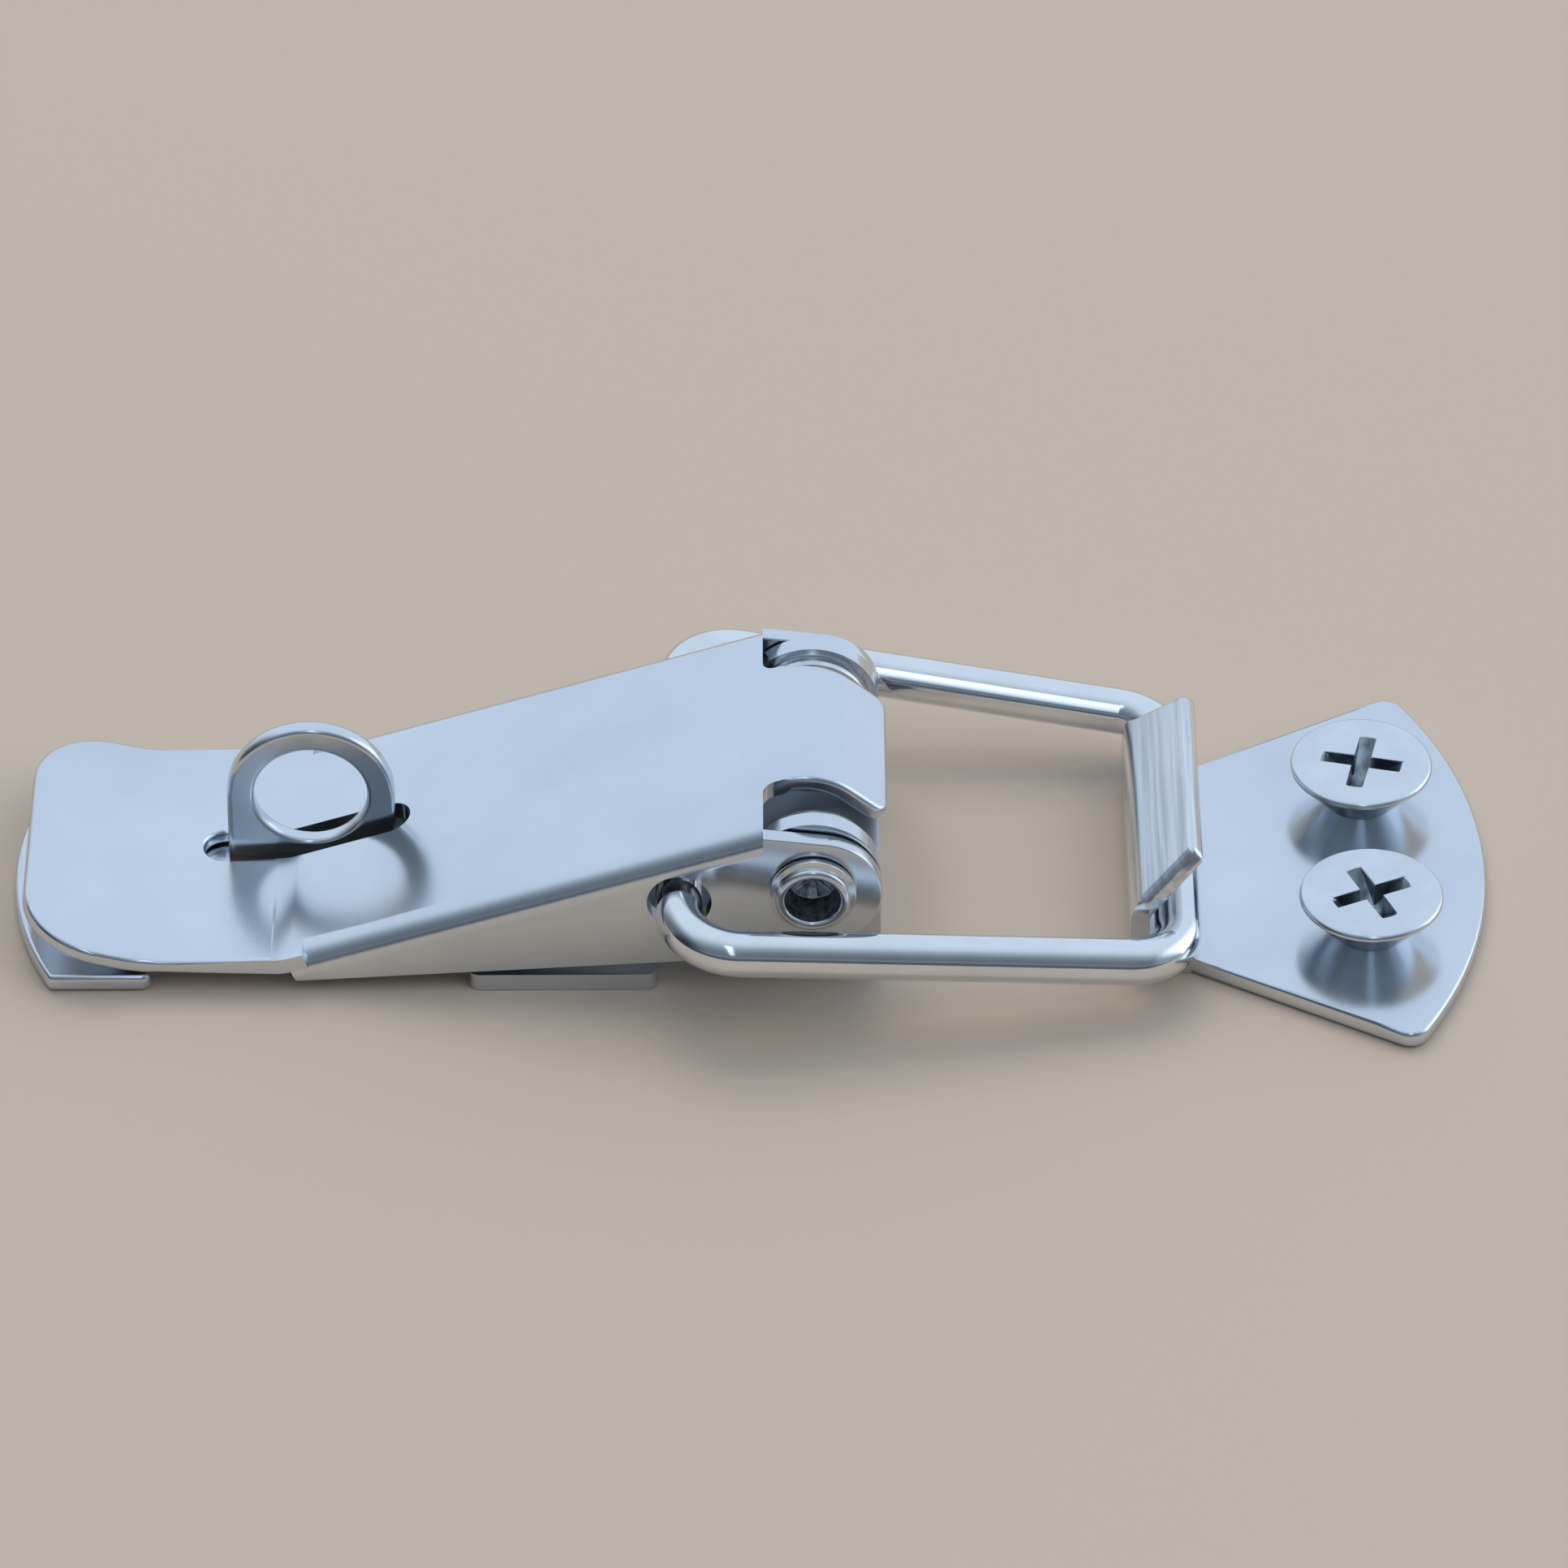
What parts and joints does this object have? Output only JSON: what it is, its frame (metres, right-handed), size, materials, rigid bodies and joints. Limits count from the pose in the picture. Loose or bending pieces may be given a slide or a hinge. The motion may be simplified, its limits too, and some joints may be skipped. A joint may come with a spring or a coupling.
{
  "type": "over centre toggle latch",
  "caption": "Over centre toggle latch of folded sheet: channel lever on a riveted base with a padlock eye, wire bail, and a fan shaped hooked keeper with its countersunk screws.",
  "frame": {"origin": "on the base's mounting face, straight below the lever's pivot, on the latch's centre line", "axes": "+X from the base to the keeper, +Z away from the mounting face, Y along the pivot; the latch is stored closed"},
  "size_m": [0.0854, 0.031, 0.0199],
  "materials": {
    "sheet": "bright satin plated sheet",
    "wire": "bright polished wire",
    "rivet": "bright plated",
    "screw": "bright plated"
  },
  "bodies": {
    "base": {"base_plate": "sheet", "pivot_rivet_near": "rivet", "pivot_rivet_far": "rivet", "keeper": "sheet", "keeper_screw_near": "screw", "keeper_screw_far": "screw"},
    "lever": {"lever": "sheet"},
    "bail": {"bail": "wire"}
  },
  "joints": [
    {"name": "lever_hinge", "type": "hinge", "parent": "base", "child": "lever", "pos_m": [0, 0, 0.0072], "axis": [0, 1, 0], "range_deg": [0, 90]},
    {"name": "bail_hinge", "type": "hinge", "parent": "lever", "child": "bail", "pos_m": [-0.0076, 0, 0.0064], "axis": [0, 1, 0], "range_deg": [-72, 0]}
  ],
  "couplings": [
    {"joint": "bail_hinge", "follows": "lever_hinge", "ratio": -0.8}
  ]
}
